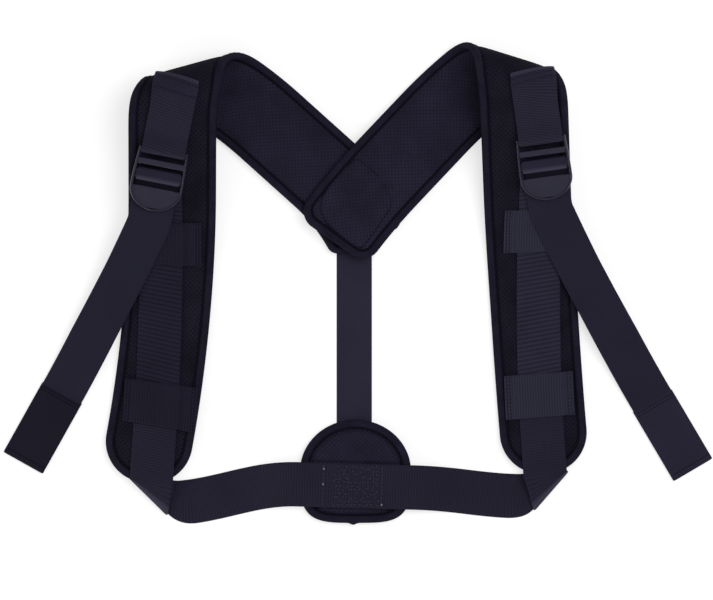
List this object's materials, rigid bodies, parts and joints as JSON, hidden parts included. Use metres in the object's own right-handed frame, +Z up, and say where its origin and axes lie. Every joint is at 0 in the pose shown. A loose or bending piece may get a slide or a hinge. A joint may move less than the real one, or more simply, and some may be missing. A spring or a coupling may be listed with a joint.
{
  "type": "posture corrector harness",
  "caption": "Padded shoulder harness that draws the shoulders back, with a crossed back, a lumbar pad, a waist belt and ladder-lock strap adjusters, lying flat.",
  "frame": {"origin": "on the table, under the middle of the harness's outline", "axes": "+X across the shoulders towards the picture's right, +Y towards the shoulders, +Z up off the table towards the camera"},
  "size_m": [0.615, 0.4188, 0.0459],
  "materials": {
    "webbing": "ribbed black webbing",
    "face_fabric": "matt black knit",
    "lining_fabric": "matt black perforated knit",
    "binding_tape": "matt black tape",
    "foam": "closed-cell foam",
    "buckle_plastic": "satin moulded plastic"
  },
  "bodies": {
    "harness": {"left_shoulder_foam": "foam", "left_shoulder_cover": "face_fabric", "left_shoulder_lining": "lining_fabric", "left_shoulder_binding": "binding_tape", "left_riser_strap": "webbing", "left_upper_keeper": "webbing", "left_lower_keeper": "webbing", "left_anchor_strap": "webbing", "left_tail_strap": "webbing", "right_shoulder_foam": "foam", "right_shoulder_cover": "face_fabric", "right_shoulder_lining": "lining_fabric", "right_shoulder_binding": "binding_tape", "right_riser_strap": "webbing", "right_upper_keeper": "webbing", "right_lower_keeper": "webbing", "right_anchor_strap": "webbing", "right_tail_strap": "webbing", "waist_belt": "webbing", "spine_strap": "webbing", "lumbar_foam": "foam", "lumbar_cover": "face_fabric", "lumbar_lining": "lining_fabric", "lumbar_binding": "binding_tape"},
    "left_buckle_body": {"left_buckle": "buckle_plastic", "left_strap_wrap": "webbing"},
    "left_tail_end": {"left_tail_hem": "webbing"},
    "right_buckle_body": {"right_buckle": "buckle_plastic", "right_strap_wrap": "webbing"},
    "right_tail_end": {"right_tail_hem": "webbing"}
  },
  "joints": [
    {"name": "left_buckle_tilt", "type": "hinge", "parent": "harness", "child": "left_buckle_body", "pos_m": [-0.16624, 0.11251, 0.03742], "axis": [-0.9764, 0.1864, 0.1095], "range_deg": [0, 40]},
    {"name": "left_strap_pull", "type": "slide", "parent": "harness", "child": "left_tail_end", "axis": [-0.4648, -0.8854, 0], "range_m": [-0.045, 0.08], "deforming": ["left_tail_strap"]},
    {"name": "right_buckle_tilt", "type": "hinge", "parent": "harness", "child": "right_buckle_body", "pos_m": [0.15834, 0.12265, 0.03861], "axis": [-0.9859, -0.1304, -0.1045], "range_deg": [0, 40]},
    {"name": "right_strap_pull", "type": "slide", "parent": "harness", "child": "right_tail_end", "axis": [0.4756, -0.8796, 0], "range_m": [-0.045, 0.08], "deforming": ["right_tail_strap"]}
  ]
}
